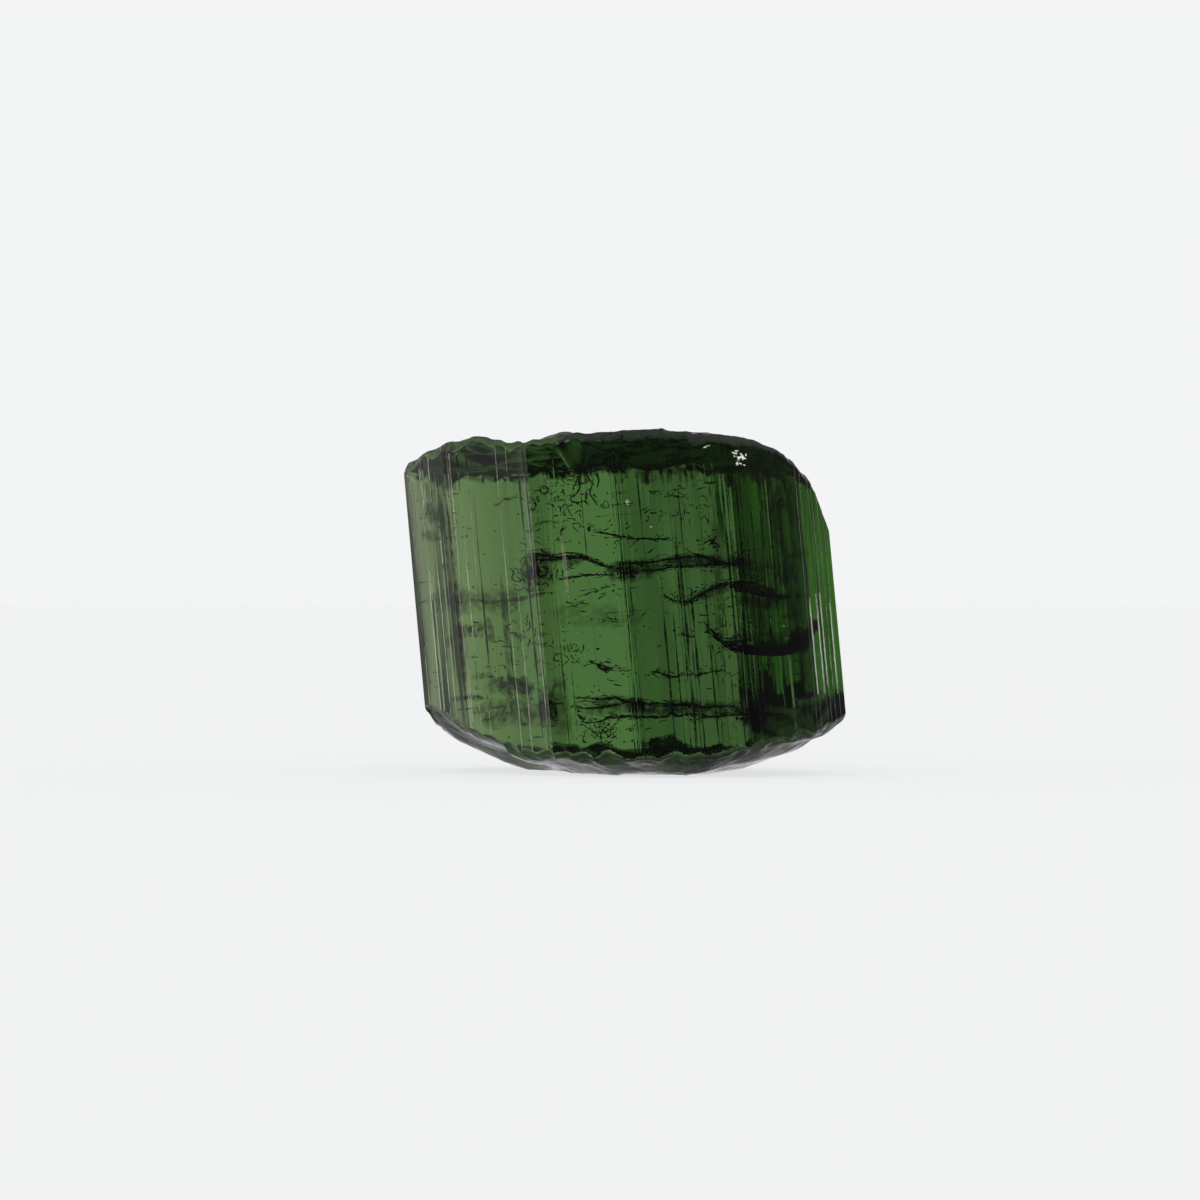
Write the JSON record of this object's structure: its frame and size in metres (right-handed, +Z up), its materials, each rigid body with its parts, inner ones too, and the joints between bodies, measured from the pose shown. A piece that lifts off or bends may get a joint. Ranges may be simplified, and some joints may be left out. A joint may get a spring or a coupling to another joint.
{
  "type": "tourmaline crystal",
  "caption": "Stout broken length of a green see-through tourmaline crystal, ribbed along its sides, with uneven broken ends; stands on a small worn foot.",
  "frame": {"origin": "middle of the crystal's box at its base, on the surface it stands on", "axes": "+Z up; +X to the right across the broad ribbed front, which faces -Y; the crystal's long axis leans 5.2 degrees off +Z towards -X"},
  "size_m": [0.0198, 0.0152, 0.0152],
  "materials": {
    "tourmaline": "clear green crystal, glossy and finely ribbed on its sides, uneven on its broken ends"
  },
  "bodies": {
    "root": {"tourmaline_crystal": "tourmaline"}
  },
  "joints": []
}
